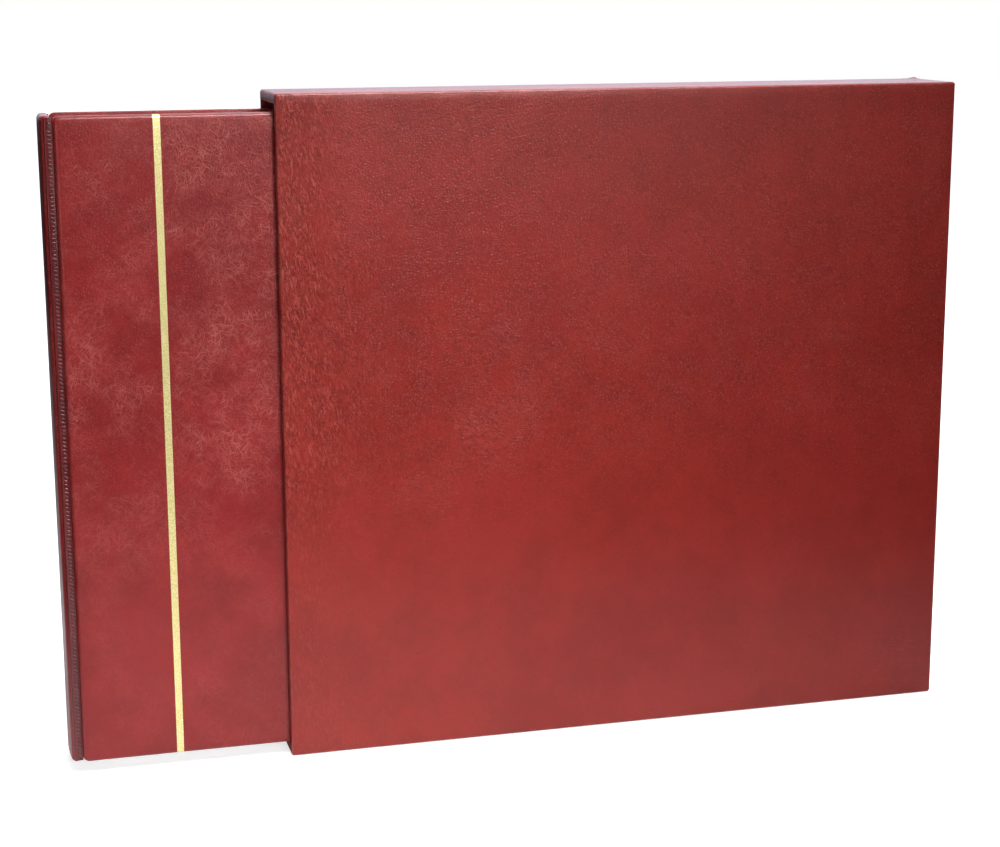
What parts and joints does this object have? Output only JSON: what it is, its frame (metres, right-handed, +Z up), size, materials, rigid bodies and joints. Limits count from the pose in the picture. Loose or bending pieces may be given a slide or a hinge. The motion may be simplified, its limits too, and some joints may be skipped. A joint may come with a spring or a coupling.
{
  "type": "stamp album",
  "caption": "Post-bound stamp album with padded leatherette covers and a gold stripe, drawn part of the way out of its matching slipcase.",
  "frame": {"origin": "centre of the slipcase's underside, which is the face the whole thing stands on", "axes": "+X towards the slipcase's closed end, so the album is drawn out along -X; the front faces look along -Y; +Z up"},
  "size_m": [0.4475, 0.045, 0.32],
  "materials": {
    "case_leatherette": "semi-gloss leatherette with a fine creased grain",
    "album_leatherette": "semi-gloss padded leatherette with fine light scuffs",
    "greyboard": "raw",
    "foam": "soft polyurethane foam",
    "case_flock": "matt black flock",
    "endpaper": "matt, lightly grained",
    "gold_foil": "hot-stamped foil",
    "hinge_cloth": "woven book cloth",
    "leaf_card": "smooth card",
    "strip_film": "clear film",
    "glassine": "translucent glassine",
    "bar_steel": "black lacquer",
    "post_brass": "turned brass"
  },
  "bodies": {
    "slipcase": {"case_front_board": "greyboard", "case_rear_board": "greyboard", "case_top_board": "greyboard", "case_bottom_board": "greyboard", "case_end_board": "greyboard", "case_front_skin": "case_leatherette", "case_rear_skin": "case_leatherette", "case_top_skin": "case_leatherette", "case_bottom_skin": "case_leatherette", "case_end_skin": "case_leatherette", "case_front_lining": "case_flock", "case_rear_lining": "case_flock", "case_top_lining": "case_flock", "case_bottom_lining": "case_flock", "case_end_lining": "case_flock"},
    "album": {"front_cover_skin": "album_leatherette", "front_cover_padding": "foam", "front_cover_board": "greyboard", "front_endpaper": "endpaper", "gold_stripe": "gold_foil", "rear_cover_skin": "album_leatherette", "rear_cover_padding": "foam", "rear_cover_board": "greyboard", "rear_endpaper": "endpaper", "spine_skin": "album_leatherette", "spine_padding": "foam", "spine_board": "greyboard", "spine_lining": "endpaper", "front_hinge_seam": "album_leatherette", "rear_hinge_seam": "album_leatherette", "front_binding_bar": "bar_steel", "rear_binding_bar": "bar_steel", "front_hinge_cloth": "hinge_cloth", "rear_hinge_cloth": "hinge_cloth", "post_barrels": "post_brass", "post_screws": "post_brass", "flyleaves": "leaf_card", "mount_strips": "strip_film", "glassine_interleaves": "glassine", "leaf_01": "leaf_card", "leaf_02": "leaf_card", "leaf_03": "leaf_card", "leaf_04": "leaf_card", "leaf_05": "leaf_card", "leaf_06": "leaf_card", "leaf_07": "leaf_card", "leaf_08": "leaf_card", "leaf_09": "leaf_card", "leaf_10": "leaf_card", "leaf_11": "leaf_card", "leaf_12": "leaf_card", "leaf_13": "leaf_card", "leaf_14": "leaf_card", "leaf_15": "leaf_card", "leaf_16": "leaf_card"}
  },
  "joints": [
    {"name": "album_slide", "type": "slide", "parent": "slipcase", "child": "album", "axis": [-1, 0, 0], "range_m": [-0.1055, 0.24]}
  ]
}
